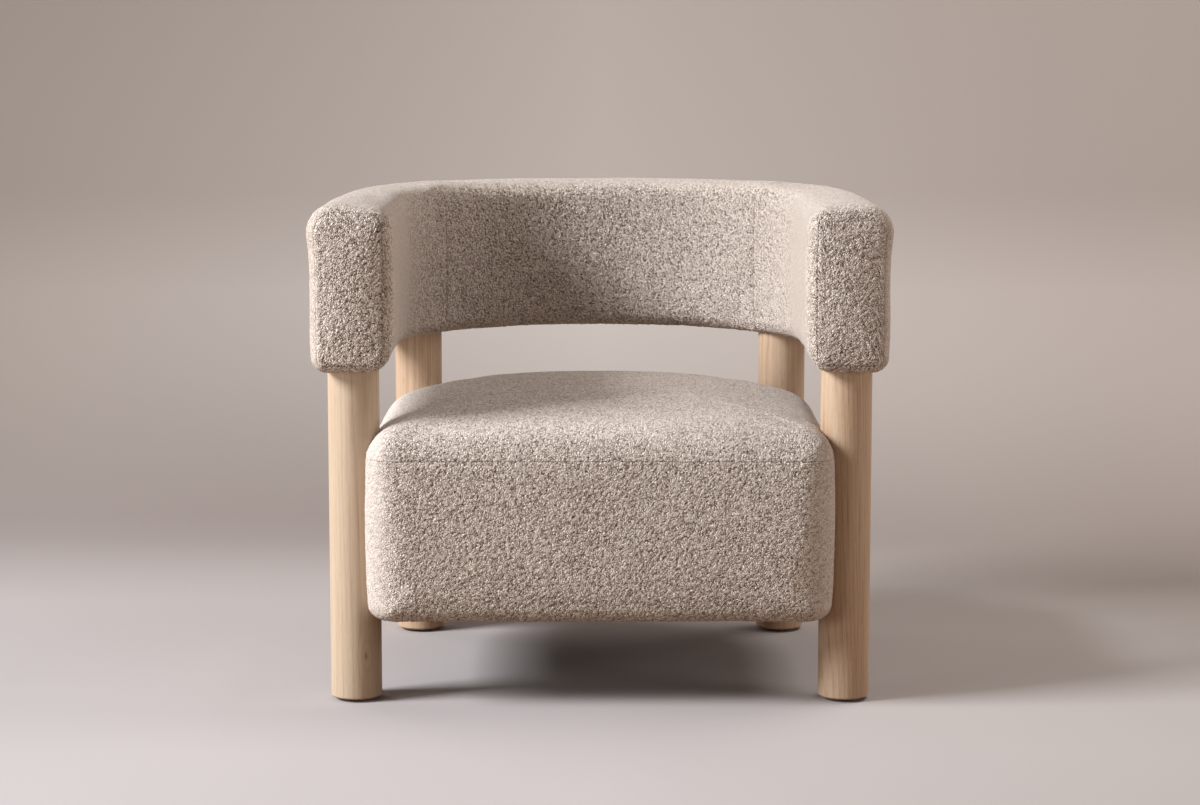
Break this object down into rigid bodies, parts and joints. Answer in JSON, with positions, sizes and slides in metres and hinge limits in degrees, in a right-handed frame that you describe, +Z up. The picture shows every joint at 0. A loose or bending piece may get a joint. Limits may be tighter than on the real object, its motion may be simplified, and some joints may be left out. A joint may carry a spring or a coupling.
{
  "type": "tub chair",
  "caption": "Upholstered tub chair with a curved back-and-arm band on round wooden legs and a thick round-backed seat between them.",
  "frame": {"origin": "middle of the chair's footprint, on the floor", "axes": "+Z up; the chair faces -Y; +X to the right of someone standing in front of it"},
  "size_m": [0.806, 0.7466, 0.7025],
  "materials": {
    "leg_wood": "satin",
    "nylon": "matte",
    "steel": "satin",
    "brass": "satin",
    "screw_steel": "satin",
    "plywood": "matte",
    "block_wood": "matte",
    "bent_board": "matte",
    "foam": "matte",
    "band_fabric": "matte",
    "seat_fabric": "matte",
    "lining_cloth": "matte",
    "elastic": "matte"
  },
  "bodies": {
    "root": {"front_leg_left": "leg_wood", "front_leg_right": "leg_wood", "rear_leg_left": "leg_wood", "rear_leg_right": "leg_wood", "front_glide_left": "nylon", "front_glide_right": "nylon", "rear_glide_left": "nylon", "rear_glide_right": "nylon", "glide_nails": "steel", "leg_bolts": "steel", "leg_tee_nuts": "steel", "back_lower_plate": "plywood", "back_upper_plate": "plywood", "front_rib_left": "block_wood", "front_rib_right": "block_wood", "arm_rib_left": "block_wood", "arm_rib_right": "block_wood", "corner_rib_left": "block_wood", "corner_rib_right": "block_wood", "centre_rib": "block_wood", "rib_screws": "screw_steel", "inner_board": "bent_board", "outer_board": "bent_board", "inner_pad": "foam", "outer_pad": "foam", "top_pad": "foam", "arm_front_pad_left": "foam", "arm_front_pad_right": "foam", "back_cover": "band_fabric", "arm_cover_left": "band_fabric", "arm_cover_right": "band_fabric", "arm_facing_left": "band_fabric", "arm_facing_right": "band_fabric", "underside_cloth": "lining_cloth", "seat_lower_frame": "plywood", "seat_upper_frame": "plywood", "front_saddle_left": "block_wood", "front_saddle_right": "block_wood", "rear_saddle_left": "block_wood", "rear_saddle_right": "block_wood", "saddle_screws": "screw_steel", "seat_bolts": "steel", "leg_sleeves": "brass", "seat_front_board": "bent_board", "seat_side_board_left": "bent_board", "seat_side_board_right": "bent_board", "seat_rear_board": "bent_board", "seat_side_pads": "foam", "seat_webbing": "elastic", "seat_foam": "foam", "seat_topper": "foam", "seat_top_cover": "seat_fabric", "seat_front_panel": "seat_fabric", "seat_side_panel_left": "seat_fabric", "seat_side_panel_right": "seat_fabric", "seat_rear_panel": "seat_fabric", "seat_dust_cloth": "lining_cloth"}
  },
  "joints": []
}
